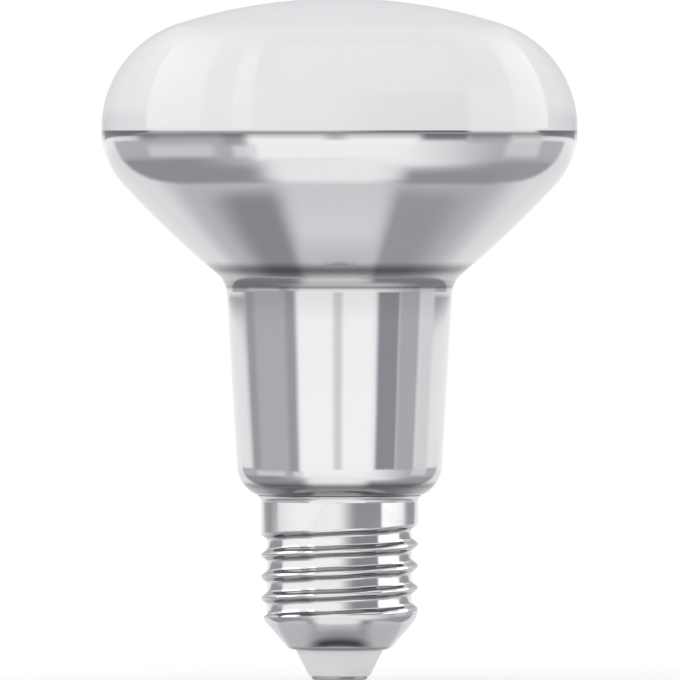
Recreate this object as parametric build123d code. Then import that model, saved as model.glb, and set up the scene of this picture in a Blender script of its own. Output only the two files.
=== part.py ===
from build123d import *
import os
from math import acos, atan2, cos, degrees, hypot, radians, sin, sqrt, tan

# Driving dimensions, in millimetres and degrees.
# The origin is the middle of the centre contact's end face, and +Z runs up the axis to the crown.

# Overall
overall_length = 115.0
bulb_diameter = 80.0

# Blown glass
crown_radius = 88.9         # the flat arc over the top of the dome
shoulder_radius = 18.5      # the dome's round edge, down to the widest line
bowl_radius = 14.1          # below the widest line
bowl_turn = 43.0            # how far the bowl's arc turns before the flank takes over
flank_radius = 175.0        # the flank is almost a cone, a little bulged
neck_fillet = 4.7           # the hollow where the flank meets the neck
neck_step = 3.7             # how far the neck stands out from the skirt, at the cap's rim
neck_taper = 3.43           # each side, from the axis
curl_radius = 5.6           # the neck's end curls in to the cap
collar_length = 2.8         # the straight end that is cemented into the cap

# Screw shell, from its rolled end up to its rim
insulator_length = 3.65     # from the contact to the shell's rolled end
end_cone_length = 5.6
edge_ring = 1.0             # from the insulator to the foot of the end cone
end_round = 1.8             # between the end cone and the rolled end
cone_round = 1.2            # between the last turn and the end cone
groove_rise = 0.35          # from the end cone to the middle of the groove's lower end
thread_diameter = 26.4      # over the crests, and over the skirt
thread_pitch = 3.629        # seven turns to the inch
thread_depth = 1.1
thread_turns = 4            # at full depth
runout_turns = 0.35         # the groove fades out over this at each end
root_round = 0.9            # the hollow at the bottom of the groove
crest_land = 0.6            # the narrow band on top of the crest
skirt_length = 5.3          # from the groove's upper end to the rim
rim_flare = 0.6             # how far the rim stands out from the skirt
rim_lead = 0.8              # height of the flare
sheet = 0.3                 # thickness of the metal, under the groove too

# Insulator and centre contact
insulator_diameter = 14.7   # where it comes out of the shell
tip_diameter = 10.2         # where it carries the contact
plug_height = 1.6           # of the insulator inside the shell
contact_diameter = 9.8
contact_height = 1.8
contact_edge = 0.6          # thickness of the contact's rim
contact_flat = 5.0          # the middle that touches the holder
shank_diameter = 4.0
rivet_diameter = 5.4        # of the shank's clinched head, inside
rivet_height = 0.8

# Fits
cement_gap = 0.15           # between glass and shell, all round
seat_gap = 0.05             # between pressed and riveted pieces

# Worked out from the above
bulb_radius = bulb_diameter / 2
skirt_radius = thread_diameter / 2
bore_radius = skirt_radius - thread_depth - sheet
pocket_radius = skirt_radius - sheet
collar_radius = pocket_radius - cement_gap
insulator_radius = insulator_diameter / 2
end_height = contact_height + insulator_length
cone_height = end_height + end_cone_length
groove_start = cone_height + groove_rise
groove_end = groove_start + thread_turns * thread_pitch
rim_height = groove_end + skirt_length
collar_end = rim_height - collar_length
plug_top = end_height + sheet + seat_gap + plug_height
end_lean = degrees(atan2(skirt_radius - insulator_radius - edge_ring, end_cone_length))


# A point of a half section is its distance from the axis and its height.

def on_circle(centre, radius, angle):
    return (centre[0] + radius * cos(radians(angle)), centre[1] + radius * sin(radians(angle)))


def arc(centre, radius, start_angle, end_angle):
    angles = (start_angle, (start_angle + end_angle) / 2, end_angle)
    return ThreePointArc(*[on_circle(centre, radius, angle) for angle in angles])


def angle_between(start, end):
    return degrees(atan2(end[1] - start[1], end[0] - start[0]))


def section_face(edges):
    return make_face(Plane.XZ * (Curve() + edges))


def turned(edges):
    return revolve(section_face(edges), Axis.Z)


def rod(radius, height):
    return Cylinder(radius, height, align=(Align.CENTER, Align.CENTER, Align.MIN))


# The glass bulb

def neck_radius(height, inset):
    # distance of the neck's wall from the axis, with the inset measured square to the wall
    at_rim = skirt_radius + neck_step - inset / cos(radians(neck_taper))
    return at_rim + (height - rim_height) * tan(radians(neck_taper))


def centre_beside_neck(inset, point, distance, side):
    # the place on a line parallel to the neck that is a given distance from a point
    slope = tan(radians(neck_taper))
    run = neck_radius(0.0, inset) - point[0]
    square = 1 + slope**2
    half = run * slope - point[1]
    rest = run**2 + point[1]**2 - distance**2
    height = (-half + side * sqrt(half**2 - square * rest)) / square
    return (neck_radius(height, inset), height)


def bulb_section():
    # a chain of arcs that run smoothly into each other, then the collar's straight end
    crown = (0.0, overall_length - crown_radius)
    shoulder_out = bulb_radius - shoulder_radius
    widest = crown[1] + sqrt((crown_radius - shoulder_radius)**2 - shoulder_out**2)
    shoulder = (shoulder_out, widest)
    bowl = (bulb_radius - bowl_radius, widest)
    flank = on_circle(bowl, flank_radius - bowl_radius, 180 - bowl_turn)
    fillet = centre_beside_neck(-neck_fillet, flank, flank_radius + neck_fillet, -1)
    rim_seat = (pocket_radius + rim_flare, rim_height + cement_gap)
    curl = centre_beside_neck(curl_radius, rim_seat, curl_radius, 1)

    crown_end = angle_between(crown, shoulder)
    flank_end = angle_between(flank, fillet)
    curl_end = -degrees(acos((collar_radius - curl[0]) / curl_radius))
    neck_top = on_circle(fillet, neck_fillet, 180 - neck_taper)
    neck_foot = on_circle(curl, curl_radius, -neck_taper)
    collar_top = on_circle(curl, curl_radius, curl_end)
    return [
        arc(crown, crown_radius, 90, crown_end),
        arc(shoulder, shoulder_radius, crown_end, 0),
        arc(bowl, bowl_radius, 0, -bowl_turn),
        arc(flank, flank_radius, -bowl_turn, flank_end),
        arc(fillet, neck_fillet, flank_end + 180, 180 - neck_taper),
        Line(neck_top, neck_foot),
        arc(curl, curl_radius, -neck_taper, curl_end),
        Polyline(collar_top, (collar_radius, collar_end), (0.0, collar_end), (0.0, overall_length)),
    ]


def make_glass_bulb():
    # one blown piece: it is sealed and can't be seen into, so it stays solid inside
    return turned(bulb_section())


# The screw shell

def end_cone(inset):
    # the end cone's foot and its height where it meets the inset side of the shell
    side = skirt_radius - inset
    top = cone_height + inset * tan(radians(end_lean / 2))
    floor = end_height + inset
    foot = (side - (top - floor) * tan(radians(end_lean)), floor)
    return foot, top


def rim_edges(side):
    # the flare at the rim, and the line from it to the axis
    flare_foot = (side, rim_height - rim_lead)
    flare_top = (side + rim_flare, rim_height)
    return flare_foot, [Polyline(flare_foot, flare_top, (0.0, rim_height))]


def shell_skin():
    # outside of the shell before it is threaded
    foot, cone_top = end_cone(0.0)
    flare_foot, edges = rim_edges(skirt_radius)
    corners = (flare_foot, (skirt_radius, cone_top), foot, (0.0, end_height))
    return edges + [
        FilletPolyline(*corners, radius=[cone_round, end_round]),
        Line((0.0, end_height), (0.0, rim_height)),
    ]


def end_filling(inset):
    # the space inside the shell's end, up to the plain bore
    foot, cone_top = end_cone(inset)
    lead_out = (skirt_radius - inset - bore_radius) / tan(radians(end_lean))
    bore_start = (bore_radius, cone_top - lead_out)
    floor = (0.0, foot[1])
    return bore_start, [FilletPolyline(floor, foot, bore_start, radius=end_round - inset)]


def shell_inside():
    # a rounded end, a plain bore under the thread, and a pocket for the glass collar
    bore_start, edges = end_filling(sheet)
    flare_foot, top_edges = rim_edges(pocket_radius)
    pocket_floor = collar_end - cement_gap
    steps = (bore_start, (bore_radius, pocket_floor), (pocket_radius, pocket_floor), flare_foot)
    axis = Line((0.0, rim_height), (0.0, end_height + sheet))
    return edges + top_edges + [Polyline(*steps), axis]


def groove_face():
    # section of the groove about its middle: straight flanks off a round root
    half_mouth = (thread_pitch - crest_land) / 2
    mouth = (skirt_radius, half_mouth)
    root = (skirt_radius - thread_depth + root_round, 0.0)
    away = hypot(mouth[0] - root[0], half_mouth)
    meet = angle_between(root, mouth) + degrees(acos(root_round / away))
    touch = on_circle(root, root_round, meet)
    outside = skirt_radius + thread_depth
    upper = Polyline(touch, mouth, (outside, half_mouth), (outside, 0.0))
    return section_face([arc(root, root_round, meet, 360 - meet), upper, mirror(upper, Plane.XZ)])


def thread_grooves():
    # a right-hand helical cut that climbs out of the metal at both ends, behind the cap
    face = groove_face()
    run = Helix(thread_pitch, thread_turns * thread_pitch, skirt_radius)
    rise = runout_turns * thread_pitch
    climb = atan2(thread_depth + sheet, rise)
    way_out = Helix(thread_pitch / cos(climb), rise, skirt_radius, cone_angle=degrees(climb))
    groove = Pos(0, 0, groove_start) * sweep(face, path=run, is_frenet=True)
    fade = sweep(face, path=way_out, is_frenet=True)
    upper = Pos(0, 0, groove_end) * Rot(0, 0, 360 * thread_turns) * fade
    lower = Pos(0, 0, groove_start) * Rot(180, 0, 0) * fade
    return [Rot(0, 0, 90) * cutter for cutter in (groove, upper, lower)]


def make_screw_shell():
    shell = turned(shell_skin())
    for cutter in thread_grooves():
        shell = shell - cutter
    return shell - turned(shell_inside()) - rod(insulator_radius + seat_gap, rim_height)


# The insulator and the centre contact

def make_cap_insulator():
    # a moulded plug that fills the shell's end, and a cone that carries the contact
    bore_start, edges = end_filling(sheet + seat_gap)
    top = (0.0, bore_start[1])
    filling = turned(edges + [Polyline(bore_start, top, (0.0, end_height + sheet + seat_gap))])
    plug = split(filling, Plane.XY.offset(plug_top), keep=Keep.BOTTOM)
    tip = (tip_diameter / 2, contact_height)
    cone_corners = ((0.0, contact_height), tip, (insulator_radius, end_height))
    plug_corners = ((insulator_radius, plug_top), (0.0, plug_top))
    cone = turned([Polyline(*cone_corners, *plug_corners, close=True)])
    return plug + cone - rod(shank_diameter / 2 + seat_gap, rim_height)


def make_centre_contact():
    # a domed disc with a shank, clinched over the insulator inside
    disc_radius = contact_diameter / 2
    shank_radius = shank_diameter / 2
    rivet_radius = rivet_diameter / 2
    rivet_top = plug_top + rivet_height
    flat_edge = (contact_flat / 2, 0.0)
    dome_edge = (disc_radius, contact_height - contact_edge)
    return turned([
        Line((0.0, 0.0), flat_edge),
        TangentArc(flat_edge, dome_edge, tangent=(1, 0)),
        Polyline(
            dome_edge, (disc_radius, contact_height), (shank_radius, contact_height),
            (shank_radius, plug_top), (rivet_radius, plug_top), (rivet_radius, rivet_top),
            (0.0, rivet_top), (0.0, 0.0),
        ),
    ])


pieces = {
    "glass_bulb": make_glass_bulb(),
    "screw_shell": make_screw_shell(),
    "cap_insulator": make_cap_insulator(),
    "centre_contact": make_centre_contact(),
}

os.makedirs("parts", exist_ok=True)
for name, piece in pieces.items():
    export_step(piece, os.path.join("parts", name + ".step"))
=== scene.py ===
import bpy
import numpy as np
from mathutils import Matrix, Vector


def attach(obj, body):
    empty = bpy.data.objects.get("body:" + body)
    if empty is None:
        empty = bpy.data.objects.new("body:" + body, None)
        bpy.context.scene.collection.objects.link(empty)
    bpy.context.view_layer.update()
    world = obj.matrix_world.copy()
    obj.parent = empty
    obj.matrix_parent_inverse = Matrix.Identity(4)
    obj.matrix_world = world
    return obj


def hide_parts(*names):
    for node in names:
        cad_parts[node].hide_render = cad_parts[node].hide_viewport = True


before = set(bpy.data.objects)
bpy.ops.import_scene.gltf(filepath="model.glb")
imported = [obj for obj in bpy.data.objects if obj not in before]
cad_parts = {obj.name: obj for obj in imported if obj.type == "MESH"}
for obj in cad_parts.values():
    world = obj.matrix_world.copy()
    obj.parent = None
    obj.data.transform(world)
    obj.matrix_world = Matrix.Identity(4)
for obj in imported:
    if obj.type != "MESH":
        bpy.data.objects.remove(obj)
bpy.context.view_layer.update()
mm = 0.001
slack = 0.001   # millimetres: places nearer than this count as one
print("frame loaded:", sorted(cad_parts))


def linkNew(name, data):
    obj = bpy.data.objects.new(name, data)
    bpy.context.scene.collection.objects.link(obj)
    return obj


# turns a camera or a lamp so that it looks at a point
def aimAt(obj, point):
    obj.rotation_euler = (Vector(point) - obj.location).to_track_quat("-Z", "Y").to_euler()


# camera: it stands level with the coat's edge, far off, and looks a little down; lengths in millimetres
view = {
    "away": 3200.0, "height": 92.8, "aimHeight": 57.56, "aimSide": 0.08, "frameWidth": 114.33,
    "sensor": 36.0, "nearest": 50.0, "farthest": 100000.0,
}

camData = bpy.data.cameras.new("photoCamera")
camObj = linkNew("photoCamera", camData)
camObj.location = (view["aimSide"] * mm, -view["away"] * mm, view["height"] * mm)
aimAt(camObj, (view["aimSide"] * mm, 0.0, view["aimHeight"] * mm))
camData.sensor_width = view["sensor"]
camData.lens = view["sensor"] * view["away"] / view["frameWidth"]
camData.clip_start, camData.clip_end = view["nearest"] * mm, view["farthest"] * mm
camData.dof.use_dof = False
bpy.context.scene.camera = camObj
bpy.context.scene.view_settings.view_transform = "Standard"
print("camera set")


# profiles: a point is its distance from the axis and its height, in millimetres

# points on a circle: the centre plus the radius times the cosine and sine of even angles
def arcPoints(centre, radius, startDeg, endDeg, count):
    turn = np.radians(np.linspace(startDeg, endDeg, count))
    return np.column_stack((centre[0] + radius * np.cos(turn), centre[1] + radius * np.sin(turn)))


# runs joined end to end, each without its first point, which the run before has
def chainOf(*runs):
    return np.vstack([runs[0]] + [run[1:] for run in runs[1:]])


# straight legs from corner to corner: each is given by its end and its number of points, spread evenly
def legPoints(start, *legs):
    starts = [start] + [end for end, count in legs]
    return chainOf(*[np.linspace(begin, end, count) for begin, (end, count) in zip(starts, legs)])


# a corner's round: the arc that touches both legs of the corner, worked out from the half angle
def roundedCorner(before, corner, after, radius, count):
    before, corner, after = (np.array(p, float) for p in (before, corner, after))
    inLeg = (before - corner) / np.linalg.norm(before - corner)
    outLeg = (after - corner) / np.linalg.norm(after - corner)
    halfAngle = np.arccos(np.clip(inLeg @ outLeg, -1, 1)) / 2
    bisector = (inLeg + outLeg) / np.linalg.norm(inLeg + outLeg)
    centre = corner + bisector * radius / np.sin(halfAngle)
    a = corner + inLeg * radius / np.tan(halfAngle) - centre
    b = corner + outLeg * radius / np.tan(halfAngle) - centre
    startDeg = np.degrees(np.arctan2(a[1], a[0]))
    swing = (np.degrees(np.arctan2(b[1], b[0])) - startDeg + 180) % 360 - 180
    return arcPoints(centre, radius, startDeg, startDeg + swing, count)


# grids and meshes

# even angles round one turn
def evenTurns(count):
    return np.linspace(0, 2 * np.pi, count, endpoint=False)


# rows carried round the axis: x and y are the radius times the cosine and sine of the turn, z is the height
def carriedRound(radius, height, cols):
    turn = evenTurns(cols)
    radius = np.broadcast_to(radius, (len(radius), cols))
    height = np.broadcast_to(height, radius.shape)
    return np.stack((radius * np.cos(turn), radius * np.sin(turn), height), axis=-1).reshape(-1, 3)


# corner numbers of the quads of a grid whose columns close on themselves
def ringQuads(rows, cols, closeRows=False):
    i, j = np.meshgrid(np.arange(rows if closeRows else rows - 1), np.arange(cols), indexing="ij")
    below, beside = (i + 1) % rows, (j + 1) % cols
    quads = (i * cols + j, below * cols + j, below * cols + beside, i * cols + beside)
    return np.stack(quads, axis=-1).reshape(-1, 4)


# a profile carried round the axis, in metres, with the row of the profile that each face starts on
# where the profile starts or ends on the axis it gets one point there and a fan of triangles
def turnedGrid(profile, cols):
    startPole, endPole = profile[0, 0] < slack, profile[-1, 0] < slack
    body = profile[int(startPole):len(profile) - int(endPole)] * mm
    rows = len(body)
    verts = carriedRound(body[:, :1], body[:, 1:], cols)
    faces = ringQuads(rows, cols).tolist()
    rowOfFace = np.repeat(np.arange(rows - 1), cols)
    j = np.arange(cols)
    beside = (j + 1) % cols
    if startPole:
        faces += np.column_stack((np.full(cols, len(verts)), j, beside)).tolist()
        verts = np.vstack((verts, (0, 0, profile[0, 1] * mm)))
        rowOfFace = np.concatenate((rowOfFace, np.full(cols, -1)))
    if endPole:
        last = (rows - 1) * cols
        faces += np.column_stack((last + j, np.full(cols, len(verts)), last + beside)).tolist()
        verts = np.vstack((verts, (0, 0, profile[-1, 1] * mm)))
        rowOfFace = np.concatenate((rowOfFace, np.full(cols, rows - 1)))
    return verts, faces, rowOfFace, body[:, 1]


def meshPiece(name, verts, faces, materials, faceSlots=None, sharpDeg=50.0):
    mesh = bpy.data.meshes.new(name)
    mesh.from_pydata(verts.tolist(), [], faces)
    for material in materials:
        mesh.materials.append(material)
    mesh.polygons.foreach_set("use_smooth", np.ones(len(mesh.polygons), bool))
    if faceSlots is not None:
        mesh.polygons.foreach_set("material_index", faceSlots.astype(np.int32))
    mesh.set_sharp_from_angle(angle=np.radians(sharpDeg))
    mesh.update()
    return linkNew(name, mesh)


# one number for each point of a mesh, for its material to read
def storeValues(mesh, name, values):
    mesh.attributes.new(name, "FLOAT", "POINT").data.foreach_set("value", values.ravel().astype(np.float32))


def dress(piece, node):
    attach(piece, "root")
    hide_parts(node)
    return piece


# materials

def newMaterial(name):
    material = bpy.data.materials.new(name)
    material.use_nodes = True
    tree = material.node_tree
    return material, tree, tree.nodes["Principled BSDF"]


# an input takes another node's output, or a plain number, vector or colour
def setInputs(tree, node, inputs):
    for key, value in inputs.items():
        socket = node.inputs[key]
        if isinstance(value, bpy.types.NodeSocket):
            tree.links.new(value, socket)
        else:
            socket.default_value = (*value, 1) if socket.type == "RGBA" else value


def addNode(tree, kind, place, inputs=None, **settings):
    node = tree.nodes.new(kind)
    node.location = place
    for key, value in settings.items():
        setattr(node, key, value)
    setInputs(tree, node, inputs or {})
    return node


# a Mix node for colours keeps its share in input 0, its two colours in 6 and 7, and its result in output 2
def mixColours(tree, place, share, first, second, blend="MIX"):
    inputs = {0: share, 6: first, 7: second}
    return addNode(tree, "ShaderNodeMix", place, inputs, data_type="RGBA", blend_type=blend).outputs[2]


# handling marks: a broad noise plus a share of a fine one, stretched to a patchy mask from 0 to 1
handling = {"broadDetail": 3.0, "fineDetail": 2.0, "fineShare": 0.4, "lowest": 0.45, "highest": 0.95}


def makeHandlingGroup():
    group = bpy.data.node_groups.new("handlingMarks", "ShaderNodeTree")
    group.interface.new_socket("Vector", in_out="INPUT", socket_type="NodeSocketVector")
    group.interface.new_socket("Broad Scale", in_out="INPUT", socket_type="NodeSocketFloat")
    group.interface.new_socket("Fine Scale", in_out="INPUT", socket_type="NodeSocketFloat")
    group.interface.new_socket("Mask", in_out="OUTPUT", socket_type="NodeSocketFloat")
    enter = addNode(group, "NodeGroupInput", (-600, 0)).outputs
    broad = addNode(group, "ShaderNodeTexNoise", (-380, 120), {
        "Vector": enter["Vector"], "Scale": enter["Broad Scale"], "Detail": handling["broadDetail"]})
    fine = addNode(group, "ShaderNodeTexNoise", (-380, -140), {
        "Vector": enter["Vector"], "Scale": enter["Fine Scale"], "Detail": handling["fineDetail"]})
    both = addNode(group, "ShaderNodeMath", (-120, 0), {
        0: fine.outputs["Fac"], 1: handling["fineShare"], 2: broad.outputs["Fac"]}, operation="MULTIPLY_ADD")
    ramp = addNode(group, "ShaderNodeMapRange", (120, 0), {
        "Value": both.outputs["Value"], "From Min": handling["lowest"], "From Max": handling["highest"]})
    addNode(group, "NodeGroupOutput", (400, 0), {"Mask": ramp.outputs["Result"]})
    return group


handlingGroup = makeHandlingGroup()


# the roughness follows the handling marks, and so does the colour that comes back
def addHandling(tree, shader, coords, look):
    broadScale, fineScale = look["markScales"]
    smooth, rough = look["roughness"]
    marks = addNode(tree, "ShaderNodeGroup", (-620, -120), {
        "Vector": coords, "Broad Scale": broadScale, "Fine Scale": fineScale}, node_tree=handlingGroup)
    mask = marks.outputs["Mask"]
    spread = addNode(tree, "ShaderNodeMapRange", (-380, -220), {
        "Value": mask, "To Min": smooth, "To Max": rough})
    setInputs(tree, shader, {"Roughness": spread.outputs["Result"]})
    return mixColours(tree, (-380, 60), mask, look["light"], look["dark"])


# a noise that lifts the surface by up to its depth, in millimetres
def addRelief(tree, shader, vector, relief):
    noise = addNode(tree, "ShaderNodeTexNoise", (-800, -420), {
        "Vector": vector, "Scale": relief["scale"], "Detail": relief["detail"]})
    bump = addNode(tree, "ShaderNodeBump", (-380, -460), {
        "Height": noise.outputs["Fac"], "Strength": relief["strength"], "Distance": relief["depth"] * mm})
    setInputs(tree, shader, {"Normal": bump.outputs["Normal"]})


domeLook = {
    "light": (0.79, 0.80, 0.815), "dark": (0.77, 0.78, 0.797), "roughness": (0.5, 0.6),
    "markScales": (40.0, 900.0), "specular": 0.2, "coatRoughness": 0.02,
}


def makeFrost():
    material, tree, shader = newMaterial("frostedGlass")
    coords = addNode(tree, "ShaderNodeTexCoord", (-900, 0)).outputs["Object"]
    setInputs(tree, shader, {
        "Base Color": addHandling(tree, shader, coords, domeLook), "Specular IOR Level": domeLook["specular"],
        "Coat Weight": 1.0, "Coat Roughness": domeLook["coatRoughness"],
    })
    return material


# rings of painted shade: dark bands of reflection painted into the mirror's colour by height in millimetres:
# middle, half width and how much light is left
# the relief is the waviness of blown glass
mirrorLook = {
    "light": (0.745, 0.748, 0.755), "dark": (0.715, 0.718, 0.725), "roughness": (0.035, 0.06),
    "markScales": (30.0, 600.0), "relief": {"scale": 55.0, "detail": 1.0, "strength": 1.0, "depth": 0.08},
    "rings": [
        (92.45, 1.4, 0.5), (69.4, 1.7, 0.3), (67.2, 1.6, 0.66), (66.55, 0.45, 0.5), (65.5, 5.5, 0.88),
        (33.1, 1.0, 0.35), (32.0, 1.3, 0.42),
    ],
}


def makeMirror():
    material, tree, shader = newMaterial("silveredGlass")
    coords = addNode(tree, "ShaderNodeTexCoord", (-1400, 0)).outputs["Object"]
    colour = addHandling(tree, shader, coords, mirrorLook)
    height = addNode(tree, "ShaderNodeSeparateXYZ", (-1200, 300), {"Vector": coords}).outputs["Z"]
    # each ring multiplies painted shade into the mirror's colour, darkest at its middle height
    for k, (middle, halfWidth, left) in enumerate(mirrorLook["rings"]):
        row = 300 + 180 * k
        offset = addNode(tree, "ShaderNodeMath", (-1000, row), {0: height, 1: middle * mm}, operation="SUBTRACT")
        away = addNode(tree, "ShaderNodeMath", (-820, row), {0: offset.outputs["Value"]}, operation="ABSOLUTE")
        ringShade = addNode(tree, "ShaderNodeMapRange", (-640, row), {
            "Value": away.outputs["Value"], "From Max": halfWidth * mm, "To Min": left, "To Max": 1.0,
        }, interpolation_type="SMOOTHSTEP")
        colour = mixColours(tree, (-200 + 180 * k, 300), 1.0, colour, ringShade.outputs["Result"], "MULTIPLY")
    setInputs(tree, shader, {"Base Color": colour, "Metallic": 1.0})
    addRelief(tree, shader, coords, mirrorLook["relief"])
    return material


# the relief is fine rolling lines, which the stretch lays round the cap; the crest sides' dark colour is painted
# shade
nickelLook = {
    "light": (0.75, 0.752, 0.755), "dark": (0.68, 0.682, 0.685), "roughness": (0.06, 0.11),
    "markScales": (120.0, 1800.0), "crestSideShade": (0.3, 0.3, 0.305), "lineStretch": (0.02, 0.02, 1.0),
    "relief": {"scale": 2500.0, "detail": 2.0, "strength": 0.012, "depth": 0.05},
}


def makeNickel():
    material, tree, shader = newMaterial("nickelPlate")
    coords = addNode(tree, "ShaderNodeTexCoord", (-1200, 0)).outputs["Object"]
    colour = addHandling(tree, shader, coords, nickelLook)
    # painted shade: the crests' steep sides take the dark colour by a value stored on the shell's points
    reader = addNode(tree, "ShaderNodeAttribute", (-620, 260), attribute_name="crestSideShade")
    crestShaded = mixColours(tree, (-180, 60), reader.outputs["Fac"], colour, nickelLook["crestSideShade"])
    setInputs(tree, shader, {"Base Color": crestShaded, "Metallic": 1.0})
    stretch = addNode(tree, "ShaderNodeMapping", (-1000, -420), {
        "Vector": coords, "Scale": nickelLook["lineStretch"]})
    addRelief(tree, shader, stretch.outputs["Vector"], nickelLook["relief"])
    return material


insulatorLook = {
    "light": (0.88, 0.88, 0.88), "dark": (0.83, 0.83, 0.83), "roughness": (0.28, 0.4),
    "markScales": (200.0, 3000.0), "relief": {"scale": 4000.0, "detail": 2.0, "strength": 0.05, "depth": 0.05},
}


def makeInsulatorPlastic():
    material, tree, shader = newMaterial("insulatorPlastic")
    coords = addNode(tree, "ShaderNodeTexCoord", (-1200, 0)).outputs["Object"]
    setInputs(tree, shader, {"Base Color": addHandling(tree, shader, coords, insulatorLook)})
    addRelief(tree, shader, coords, insulatorLook["relief"])
    return material


contactLook = {
    "light": (0.46, 0.455, 0.45), "dark": (0.33, 0.325, 0.32), "roughness": (0.2, 0.38),
    "markScales": (500.0, 4000.0),
}


def makeContactMetal():
    material, tree, shader = newMaterial("contactMetal")
    coords = addNode(tree, "ShaderNodeTexCoord", (-1200, 0)).outputs["Object"]
    setInputs(tree, shader, {"Base Color": addHandling(tree, shader, coords, contactLook), "Metallic": 1.0})
    return material


frost, mirror, nickel = makeFrost(), makeMirror(), makeNickel()
insulatorPlastic, contactMetal = makeInsulatorPlastic(), makeContactMetal()
print("materials made")


# glass bulb: a chain of arcs carried round the axis, and how many points each run of it has
glass = {
    "length": 115.0, "radius": 40.0, "crown": 88.9, "shoulder": 18.5, "bowl": 14.1, "bowlTurn": 43.0,
    "flank": 175.0, "neckFillet": 4.7, "neckFoot": 16.9, "rimHeight": 31.216, "neckTaper": 3.43,
    "curl": 5.6, "curlSeat": (13.5, 31.366), "collarRadius": 12.75, "collarEnd": 28.416,
    "coatLine": 92.8, "columns": 320,
    "points": {
        "crown": 30, "shoulder": 44, "edge": 3, "bowl": 40, "flank": 36, "fillet": 28, "neck": 40, "curl": 30,
        "collar": 8, "end": 8,
    },
}


# the point on a line beside the neck that lies a given distance from a point: a quadratic in the height
def besideNeck(inset, point, distance, side):
    slope = np.tan(np.radians(glass["neckTaper"]))
    foot = glass["neckFoot"] - inset / np.cos(np.radians(glass["neckTaper"])) - glass["rimHeight"] * slope
    run = foot - point[0]
    half = run * slope - point[1]
    square = 1 + slope**2
    height = (-half + side * np.sqrt(half**2 - square * (run**2 + point[1]**2 - distance**2))) / square
    return np.array((foot + height * slope, height))


# the direction from one point to another, in degrees
def angleFrom(start, end):
    return np.degrees(np.arctan2(end[1] - start[1], end[0] - start[0]))


# each arc's centre lies on the line through the last one's centre and end, so the arcs run smoothly on
def glassProfile():
    g, count = glass, glass["points"]
    crown = np.array((0.0, g["length"] - g["crown"]))
    shoulderOut = g["radius"] - g["shoulder"]
    widest = crown[1] + np.sqrt((g["crown"] - g["shoulder"])**2 - shoulderOut**2)
    shoulder = np.array((shoulderOut, widest))
    bowl = np.array((g["radius"] - g["bowl"], widest))
    turn = np.radians(180 - g["bowlTurn"])
    flank = bowl + (g["flank"] - g["bowl"]) * np.array((np.cos(turn), np.sin(turn)))
    fillet = besideNeck(-g["neckFillet"], flank, g["flank"] + g["neckFillet"], -1)
    curl = besideNeck(g["curl"], g["curlSeat"], g["curl"], 1)
    crownEnd, flankEnd = angleFrom(crown, shoulder), angleFrom(flank, fillet)
    curlEnd = -np.degrees(np.arccos((g["collarRadius"] - curl[0]) / g["curl"]))
    coatTurn = np.degrees(np.arcsin((g["coatLine"] - widest) / g["bowl"]))
    filletRun = arcPoints(fillet, g["neckFillet"], flankEnd + 180, 180 - g["neckTaper"], count["fillet"])
    curlRun = arcPoints(curl, g["curl"], -g["neckTaper"], curlEnd, count["curl"])
    collarFoot, axisFoot = (g["collarRadius"], g["collarEnd"]), (0.0, g["collarEnd"])
    return chainOf(
        arcPoints(crown, g["crown"], 90, crownEnd, count["crown"]),
        arcPoints(shoulder, g["shoulder"], crownEnd, 0, count["shoulder"]),
        arcPoints(bowl, g["bowl"], 0, coatTurn, count["edge"]),
        arcPoints(bowl, g["bowl"], coatTurn, -g["bowlTurn"], count["bowl"]),
        arcPoints(flank, g["flank"], -g["bowlTurn"], flankEnd, count["flank"]),
        filletRun,
        legPoints(filletRun[-1], (curlRun[0], count["neck"])),
        curlRun,
        legPoints(curlRun[-1], (collarFoot, count["collar"]), (axisFoot, count["end"])),
    )


# frost above the coat's line, mirror from there down
verts, faces, rowOfFace, rowHeight = turnedGrid(glassProfile(), glass["columns"])
underCoat = rowHeight[np.clip(rowOfFace, 0, None)] <= (glass["coatLine"] + slack) * mm
bulbObj = meshPiece("glassBulb", verts, faces, [frost, mirror], np.where(rowOfFace < 0, False, underCoat))
dress(bulbObj, "glass_bulb")
print("glass bulb:", len(verts), "points")


# screw shell: its plain outline with a right-hand knuckle thread pressed in
# the crests' sides get painted shade, a darker colour, where their slope lies past the first number, and fully so
# past the second
shell = {
    "crestRadius": 13.2, "pitch": 3.629, "depth": 1.1, "rootHalf": 0.6, "rootLean": (0.3, 1.9),
    "turns": 4.0, "runout": 0.24, "startHeight": 11.4, "startTurn": 90.0, "threadClear": 1.0,
    "sway": 0.035, "swayTurns": (3.3, 7.7), "swayShift": 1.0,
    "hole": 7.4, "endHeight": 5.45, "footRadius": 8.35, "coneTop": 11.05, "endRound": 2.0, "coneRound": 4.0,
    "flareFoot": 30.8, "flareRound": 1.0, "flare": 0.55, "rimHeight": 31.4,
    "sheet": 0.3, "pocketFloor": 28.266, "boreRadius": 11.8, "boreDrop": 1.2, "floorInset": 0.1,
    "shadeUnder": (0.7, 1.3), "shadeOver": (0.8, 1.2), "overShare": 0.8,
    "columns": 288, "threadRows": 236, "sharpDeg": 60.0,
}


# how far in the surface lies at a height above the groove's middle: the root is a flat parabola that faces
# up a little, and on each side a cubic leaves it with its slope and ends level on the crest
def knuckleDepth(rise):
    half, reach = shell["rootHalf"], shell["pitch"] / 2 - shell["rootHalf"]
    top, foot = np.tan(np.radians(shell["rootLean"]))
    middle, bend = (top + foot) / 2, (top - foot) / (2 * half)

    def parabola(z):
        return middle * z + bend / 2 * z**2

    root = shell["depth"] - parabola(-middle / bend) + parabola(np.clip(rise, -half, half))
    t = np.clip((np.abs(rise) - half) / reach, 0, 1)
    slope = np.where(rise > 0, top, -foot)
    return root * (2 * t**3 - 3 * t**2 + 1) + reach * slope * (t**3 - 2 * t**2 + t)


# smooth step from 0 to 1: three times the square less twice the cube
def smoothStep(low, high, value):
    t = np.clip((value - low) / (high - low), 0, 1)
    return t * t * (3 - 2 * t)


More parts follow.
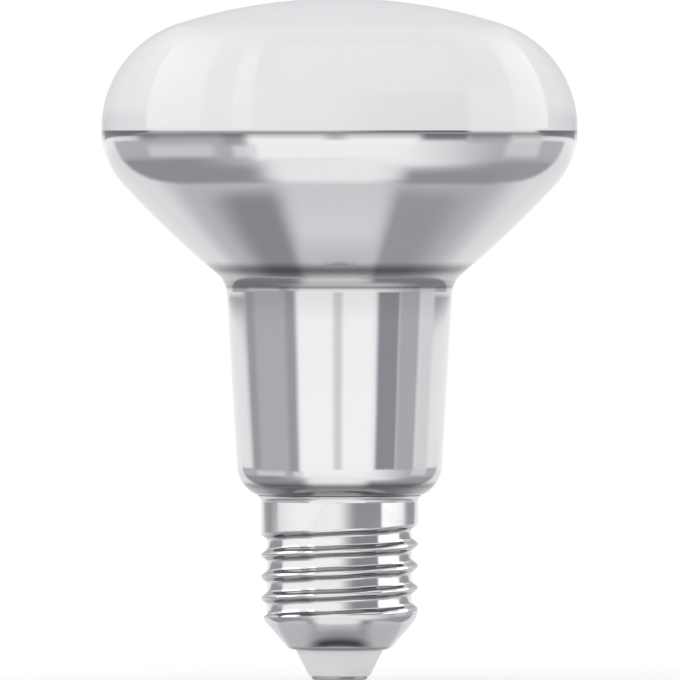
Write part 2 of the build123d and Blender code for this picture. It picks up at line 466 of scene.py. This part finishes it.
# the groove's middle climbs one pitch a turn and sways a little; its depth fades over the run-out at both ends
def threadDepth(turn, height):
    s = shell
    part = ((turn - np.radians(s["startTurn"])) / (2 * np.pi)) % 1.0
    whole = np.round((height - s["startHeight"]) / s["pitch"] - part)
    along = whole + part
    slow, quick = s["swayTurns"]
    sway = np.sin(2 * np.pi * slow * along) + np.sin(2 * np.pi * quick * along + s["swayShift"])
    rise = height - s["startHeight"] - s["pitch"] * along - s["sway"] * sway
    fadeIn = smoothStep(-s["runout"], 0.0, along)
    fadeOut = 1 - smoothStep(s["turns"], s["turns"] + s["runout"], along)
    return fadeIn * fadeOut * knuckleDepth(rise)


# from the hole's edge along the end, up the outside to the rim, and back down the inside
def shellProfile():
    s = shell
    holeEdge, foot = (s["hole"], s["endHeight"]), (s["footRadius"], s["endHeight"])
    shoulder, flareFoot = (s["crestRadius"], s["coneTop"]), (s["crestRadius"], s["flareFoot"])
    rim = (s["crestRadius"] + s["flare"], s["rimHeight"])
    footRound = roundedCorner(holeEdge, foot, shoulder, s["endRound"], count=14)
    coneRound = roundedCorner(foot, shoulder, flareFoot, s["coneRound"], count=14)
    flareRound = roundedCorner(shoulder, flareFoot, rim, s["flareRound"], count=8)
    innerRim = (rim[0] - s["sheet"], rim[1])
    innerFlare = (s["crestRadius"] - s["sheet"], s["flareFoot"])
    pocket, ledge = (innerFlare[0], s["pocketFloor"]), (s["boreRadius"], s["pocketFloor"])
    coneInside = (s["boreRadius"], s["coneTop"] - s["boreDrop"])
    floorInside = (s["footRadius"] - s["floorInset"], s["endHeight"] + s["sheet"])
    holeInside = (s["hole"], s["endHeight"] + s["sheet"])
    return chainOf(
        legPoints(holeEdge, (footRound[0], 4)),
        footRound,
        legPoints(footRound[-1], (coneRound[0], 24)),
        coneRound,
        legPoints(coneRound[-1], (flareRound[0], s["threadRows"])),
        flareRound,
        legPoints(
            flareRound[-1], (rim, 5), (innerRim, 3), (innerFlare, 4), (pocket, 4), (ledge, 3), (coneInside, 8),
            (floorInside, 8), (holeInside, 3)),
    )


# the outline goes round the axis and closes at the hole's edge
# outside, the radius is the lesser of the outline's and the crest radius less the thread's depth
def makeShell():
    s, cols = shell, shell["columns"]
    profile = shellProfile()[::-1]
    outside = np.arange(len(profile)) > np.argmax(profile[:, 1] >= s["rimHeight"] - slack)
    plain = np.broadcast_to(profile[:, :1], (len(profile), cols))
    height = np.broadcast_to(profile[:, 1:], plain.shape)
    pressed = np.minimum(plain, s["crestRadius"] - threadDepth(evenTurns(cols)[None, :], height))
    threaded = outside[:, None] & (height < s["flareFoot"] - s["threadClear"])
    radius = np.where(threaded, pressed, plain)
    verts = carriedRound(radius, height, cols) * mm
    faces = ringQuads(len(profile), cols, closeRows=True).tolist()
    obj = meshPiece("screwShell", verts, faces, [nickel], sharpDeg=s["sharpDeg"])
    # painted shade for the crests' steep sides, from the outline's slope under and over them
    spread = np.gradient(radius, axis=0) / np.where(threaded, np.gradient(height, axis=0), 1.0)
    crestShade = smoothStep(*s["shadeUnder"], spread) + s["overShare"] * smoothStep(*s["shadeOver"], -spread)
    storeValues(obj.data, "crestSideShade", np.where(threaded, crestShade, 0.0))
    return obj


shellObj = dress(makeShell(), "screw_shell")
print("screw shell:", len(shellObj.data.vertices), "points")


# insulator: a cone with a bore for the contact's shank
insulator = {
    "tip": 5.1, "tipHeight": 1.05, "collar": 7.35, "collarHeight": 5.45, "top": 7.4, "bore": 2.05,
    "edgeRound": 0.5, "columns": 192,
}


def insulatorProfile():
    n = insulator
    innerTop, outerTop = (n["bore"], n["top"]), (n["collar"], n["top"])
    innerTip, collar = (n["bore"], n["tipHeight"]), (n["collar"], n["collarHeight"])
    tipRound = roundedCorner(innerTip, (n["tip"], n["tipHeight"]), collar, n["edgeRound"], count=10)
    return chainOf(
        legPoints(innerTop, (outerTop, 4), (collar, 6), (tipRound[-1], 24)),
        tipRound[::-1],
        legPoints(tipRound[0], (innerTip, 4), (innerTop, 4)),
    )


# the outline goes round the axis; its last point is its first again, so it is left out and the rows close
def makeInsulator():
    profile, cols = insulatorProfile()[:-1], insulator["columns"]
    verts = carriedRound(profile[:, :1], profile[:, 1:], cols) * mm
    faces = ringQuads(len(profile), cols, closeRows=True).tolist()
    return meshPiece("capInsulator", verts, faces, [insulatorPlastic])


dress(makeInsulator(), "cap_insulator")


# centre contact: a domed disc, its shank and the clinched head inside
contact = {
    "radius": 4.7, "flat": 2.5, "height": 1.05, "edge": 0.4, "shank": 2.0, "plugTop": 7.4, "rivet": 2.7,
    "rivetTop": 8.2, "columns": 160,
}


# the dome's arc leaves the flat with no slope, so its radius is the run squared plus the rise squared, over
# twice the rise
def contactProfile():
    c = contact
    run, rise = c["radius"] - c["flat"], c["height"] - c["edge"]
    domeRadius = (run**2 + rise**2) / (2 * rise)
    endDeg = -90 + np.degrees(np.arcsin(run / domeRadius))
    dome = arcPoints((c["flat"], domeRadius), domeRadius, endDeg, -90, count=24)
    headTop, headFoot = (c["rivet"], c["rivetTop"]), (c["rivet"], c["plugTop"])
    shankTop, shankFoot = (c["shank"], c["plugTop"]), (c["shank"], c["height"])
    return chainOf(
        legPoints(
            (0.0, c["rivetTop"]), (headTop, 4), (headFoot, 4), (shankTop, 3), (shankFoot, 6),
            ((c["radius"], c["height"]), 5), (dome[0], 5)),
        dome,
        legPoints(dome[-1], ((0.0, 0.0), 6)),
    )


verts, faces = turnedGrid(contactProfile(), contact["columns"])[:2]
dress(meshPiece("centreContact", verts, faces, [contactMetal]), "centre_contact")
print("cap made")


# stage: white floor and world, a soft lamp, and a light tent and a card that only mirrors see
stageLook = {"worldFill": 0.96, "shadeTint": (0.95, 0.97, 1.08)}


def stagePiece(name, verts, faces, material):
    mesh = bpy.data.meshes.new(name)
    mesh.from_pydata(verts.reshape(-1, 3).tolist(), [], faces)
    mesh.materials.append(material)
    return linkNew(name, mesh)


# a glowing face: its strength is a value of the mesh's points, and the darker it is the more it takes the tint
def newGlow(name, valueName):
    material = bpy.data.materials.new(name)
    material.use_nodes = True
    material.cycles.emission_sampling = "NONE"
    tree = material.node_tree
    tree.nodes.clear()
    strength = addNode(tree, "ShaderNodeAttribute", (-650, 0), attribute_name=valueName).outputs["Fac"]
    colour = mixColours(tree, (-400, -220), strength, stageLook["shadeTint"], (1, 1, 1))
    glow = addNode(tree, "ShaderNodeEmission", (-150, 0), {"Color": colour, "Strength": strength})
    leave = addNode(tree, "ShaderNodeOutputMaterial", (300, 0), {"Surface": glow.outputs["Emission"]})
    return material, tree, glow, leave


def onlyInMirrors(obj):
    obj.visible_camera = False
    obj.visible_diffuse = False
    obj.visible_shadow = False
    obj.visible_volume_scatter = False


# full between the two inner numbers, gone outside the outer two
def panelWeight(value, span):
    return smoothStep(span[0], span[1], value) * (1 - smoothStep(span[2], span[3], value))


floorLook = {"radius": 40.0, "sides": 96, "height": -0.0004, "tone": 0.9}   # metres


# most of the floor's white is lit, so it keeps a shadow; the rest glows, for the camera and through glass only
def makeFloor():
    look = floorLook
    material, tree, shader = newMaterial("paleFloor")
    path = addNode(tree, "ShaderNodeLightPath", (-700, -200)).outputs
    seen = addNode(tree, "ShaderNodeMath", (-500, -200), {
        0: path["Is Camera Ray"], 1: path["Is Transmission Ray"]}, operation="MAXIMUM")
    rest = addNode(tree, "ShaderNodeMath", (-300, -200), {
        0: seen.outputs["Value"], 1: 1.0 - look["tone"] * stageLook["worldFill"]}, operation="MULTIPLY")
    setInputs(tree, shader, {
        "Base Color": (look["tone"],) * 3, "Roughness": 1.0, "Specular IOR Level": 0.0,
        "Emission Color": (1, 1, 1), "Emission Strength": rest.outputs["Value"],
    })
    verts = carriedRound(np.full((1, 1), look["radius"]), look["height"], look["sides"])
    floor = stagePiece("floor", verts, [list(range(look["sides"]))], material)
    floor.visible_glossy = False


# patches on a card under the cap, painted one over the other, each by the heading from the camera's side (right
# is plus) and by the distance from the axis in millimetres, with its brightness
cardLook = {"radius": 24.0, "height": -0.2, "rings": 90, "columns": 240, "innermost": 0.02, "crowding": 1.5}
cardPatches = [
    ("cone", (-181, -180, 180, 181), (-2, -1, 11.0, 12.8), 0.7),
    ("cone left", (-140, -120, -50, -36), (-2, -1, 19, 23), 0.7),
    ("cone right", (36, 50, 120, 140), (-2, -1, 19, 23), 0.7),
    ("cone front", (-75, -15, 15, 75), (10.2, 11.4, 11.9, 13.6), 0.45),
    ("cone shade", (-80, -26, 26, 80), (9.1, 10.2, 10.5, 11.9), 0.07),
]


# a flat card: x is the distance from the axis times the sine of the heading, y less its cosine
# a patch covers what lies under it by its share, and where none lies the card is clear
def makeCard():
    look = cardLook
    headings = np.linspace(-180, 180, look["columns"], endpoint=False)
    distances = look["radius"] * np.linspace(look["innermost"], 1, look["rings"])**look["crowding"]
    headingGrid, distanceGrid = np.meshgrid(headings, distances)
    heading = np.radians(headingGrid)
    x, y = distanceGrid * np.sin(heading), -distanceGrid * np.cos(heading)
    verts = np.stack((x, y, np.full_like(x, look["height"])), axis=-1) * mm
    glowTone, clearShare = np.zeros_like(heading), np.ones_like(heading)
    for name, headingSpan, distanceSpan, bright in cardPatches:
        share = panelWeight(headingGrid, headingSpan) * panelWeight(distanceGrid, distanceSpan)
        glowTone = glowTone * (1 - share) + bright * share
        clearShare = clearShare * (1 - share)
    material, tree, glow, leave = newGlow("cardFace", "glowTone")
    reader = addNode(tree, "ShaderNodeAttribute", (-400, 220), attribute_name="clearShare")
    clear = addNode(tree, "ShaderNodeBsdfTransparent", (-150, 220), {"Color": reader.outputs["Fac"]})
    both = addNode(tree, "ShaderNodeAddShader", (80, 120), {
        0: clear.outputs["BSDF"], 1: glow.outputs["Emission"]})
    setInputs(tree, leave, {"Surface": both.outputs["Shader"]})
    middle = [list(range(look["columns"]))]
    card = stagePiece("underCard", verts, ringQuads(*heading.shape).tolist() + middle, material)
    storeValues(card.data, "glowTone", glowTone)
    storeValues(card.data, "clearShare", clearShare)
    return card


# panels in the tent, painted one over the other, each by the turn (right is plus) and the tilt (up is plus) of a
# surface that shows it to the camera: where it starts to fade in, where it is full, until where, and its end
# then comes its brightness, and a last number rounds a panel's outer ends off: the least sideways share of the
# rays that show it, at turns past the end turn; metres and degrees
tentLook = {"radius": 1.6, "height": 0.0575, "columns": 361, "rows": 721, "endTurn": 45, "endFade": 0.04}
tentPanels = [
    ("upper room", (-92, -91, 91, 92), (0.5, 1.5, 91, 92), 0.85),
    ("dome front", (-34, -22, 22, 40), (25, 32, 50, 60), 0.65),
    ("dome left", (-64, -58, -30, -24), (0.8, 2, 50, 62), 1.05),
    ("dome right", (34, 40, 58, 64), (0.8, 2, 50, 62), 1.05),
    ("crown", (-92, -91, 91, 92), (62, 68, 91, 92), 0.7),
    ("behind left", (-92, -91, -74, -66), (0.5, 1.5, 91, 92), 0.7),
    ("behind right", (66, 74, 91, 92), (0.5, 1.5, 91, 92), 0.7),
    ("skirt left dark", (-84, -78, -54, -50), (-4, -3.4, 6, 14), 0.4),
    ("skirt left", (-54, -49, -6, 12), (-2, -1.5, 14, 30), 1.2),
    ("skirt front", (-2, 14, 31, 34), (-2, -1.5, 14, 30), 0.33),
    ("skirt right", (31, 34, 53, 57), (-2, -1.5, 14, 30), 1.6),
    ("skirt right dark", (54, 58, 78, 84), (-4, -3.4, 6, 14), 0.4),
    ("thread tops", (-20, -12, 28, 34), (16, 22, 44, 52), 1.1),
    ("left strip", (-54, -53, -35.5, -34.5), (0.8, 2, 30, 60), 2.0),
    ("narrow strip", (-27, -26, -22, -21), (0.8, 2, 30, 60), 2.0),
    ("right strip", (46.5, 47.5, 59.5, 61), (0.8, 2, 30, 60), 2.0),
    ("low back", (-92, -91, 91, 92), (-92, -91, -20, -3), 0.9),
    ("low room", (-60, -45, 44, 62), (-76, -66, -38, -34), 0.62),
    ("low wall", (-92, -91, 91, 92), (-24, -17, -8, -5.5), 0.57, 0.6),
    ("low strip left", (-55, -52, -34, -30), (-24, -17, -6, -5), 0.76),
    ("low strip narrow", (-28, -25, -22, -21), (-24, -17, -6, -5), 0.84),
    ("low strip right", (43, 46, 56, 59), (-24, -17, -6, -5), 0.78),
    ("left crescent", (-92, -91, -42, -14), (-41, -36, -22, -16), 0.37, 0.6),
    ("left crescent end", (-56, -44, -26, -14), (-42, -36, -30, -17), 0.37),
    ("right crescent", (14, 44, 91, 92), (-41, -36, -24, -15), 0.42, 0.6),
    ("right crescent end", (12, 20, 40, 54), (-44, -37, -33, -22), 0.38),
    ("left lobe", (-46, -30, -22, -12), (-76, -66, -43.6, -42), 0.33),
    ("right lobe", (12, 18, 28, 50), (-76, -66, -43.6, -41.5), 0.41),
    ("front box right", (0, 8, 12, 48), (-28, -21, -6, -5), 1.08),
    ("front box", (-24, -19, 10, 22), (-24, -18, -6, -5), 1.14),
    ("front box low", (-22, -12, 6, 19), (-46, -34, -22, -17), 1.06),
    ("under", (-20, -11, 10, 18), (-76, -66, -46, -38), 0.83),
    ("under, low", (-20, -11, 10, 18), (-76, -66, -49.5, -46), 0.6),
    ("coat edge", (-62, -54, 54, 62), (-3, -2.6, -2.0, -1.6), 0.75),
    ("neck left", (-62, -53, -24, -21), (-13, -7, -3.1, -2.7), 0.55),
    ("neck left line", (-58, -54, -52, -47), (-9, -5.4, -3.1, -2.7), 0.44),
    ("neck left dark", (-31, -27, -25, -21), (-13, -7, -3.1, -2.7), 0.43),
    ("neck front", (-25, -20, 16, 20.5), (-13, -7, -3.1, -2.7), 1.17),
    ("neck slit", (-5, -1.4, -0.4, 3.2), (-8, -6.5, -3.1, -2.7), 0.82),
    ("neck right dark", (18.5, 21.5, 31, 34), (-9, -5.4, -3.1, -2.7), 0.35),
    ("neck right", (31, 34, 44, 48), (-11, -6, -3.1, -2.7), 0.53),
    ("neck right edge", (44, 49, 55, 60), (-11, -6, -3.1, -2.7), 0.84),
]


# a sphere around the bulb: a point of it lies where a surface of that turn and tilt throws a ray from the camera,
# which is the ray turned about the surface's normal n: twice n times (n dot camera side), less the camera side
def makeTent():
    look = tentLook
    turns, tilts = np.linspace(-90, 90, look["columns"]), np.linspace(-90, 90, look["rows"])
    turnGrid, tiltGrid = np.meshgrid(turns, tilts)
    turn, tilt = np.radians(turnGrid), np.radians(tiltGrid)
    facing = np.stack((np.cos(tilt) * np.sin(turn), -np.cos(tilt) * np.cos(turn), np.sin(tilt)), axis=-1)
    away = -2 * facing[..., 1:2] * facing + np.array((0.0, 1.0, 0.0))
    verts = look["radius"] * away + np.array((0.0, 0.0, look["height"]))
    tone = np.ones_like(turnGrid)
    for name, turnSpan, tiltSpan, bright, *sideways in tentPanels:
        share = panelWeight(turnGrid, turnSpan) * panelWeight(tiltGrid, tiltSpan)
        if sideways:
            least, most = sideways[0] - look["endFade"], sideways[0] + look["endFade"]
            rounded = smoothStep(least, most, np.abs(away[..., 0]))
            share = share * np.where(np.abs(turnGrid) > look["endTurn"], rounded, 1.0)
        tone = tone * (1 - share) + bright * share
    rows, cols = turnGrid.shape
    i, j = np.meshgrid(np.arange(rows - 1), np.arange(cols - 1), indexing="ij")
    first = i * cols + j
    faces = np.stack((first, first + 1, first + cols + 1, first + cols), axis=-1).reshape(-1, 4)
    tent = stagePiece("lightTent", verts, faces.tolist(), newGlow("tentCloth", "tone")[0])
    storeValues(tent.data, "tone", tone)
    return tent


# the world is white to the camera, in mirrors and through glass, and a little less bright as light
def makeWorld():
    world = bpy.data.worlds.new("whiteRoom")
    bpy.context.scene.world = world
    world.use_nodes = True
    tree = world.node_tree
    path = addNode(tree, "ShaderNodeLightPath", (-900, 0)).outputs
    first = addNode(tree, "ShaderNodeMath", (-700, 0), {
        0: path["Is Camera Ray"], 1: path["Is Glossy Ray"]}, operation="MAXIMUM")
    second = addNode(tree, "ShaderNodeMath", (-500, 0), {
        0: first.outputs["Value"], 1: path["Is Transmission Ray"]}, operation="MAXIMUM")
    power = addNode(tree, "ShaderNodeMapRange", (-300, 0), {
        "Value": second.outputs["Value"], "To Min": stageLook["worldFill"], "To Max": 1.0})
    setInputs(tree, tree.nodes["Background"], {"Color": (1, 1, 1), "Strength": power.outputs["Result"]})


keyLook = {"place": (-0.9, -1.0, 1.1), "aim": (0.0, 0.0, 0.06), "size": 0.9, "power": 1.5}   # metres and watts


def makeLamp(name, look):
    data = bpy.data.lights.new(name, "AREA")
    data.shape = "SQUARE"
    data.size = look["size"]
    data.energy = look["power"]
    lamp = linkNew(name, data)
    lamp.location = look["place"]
    aimAt(lamp, look["aim"])
    lamp.visible_glossy = False
    lamp.visible_camera = False


makeFloor()
onlyInMirrors(makeCard())
onlyInMirrors(makeTent())
makeWorld()
makeLamp("keyLamp", keyLook)
print("stage set")
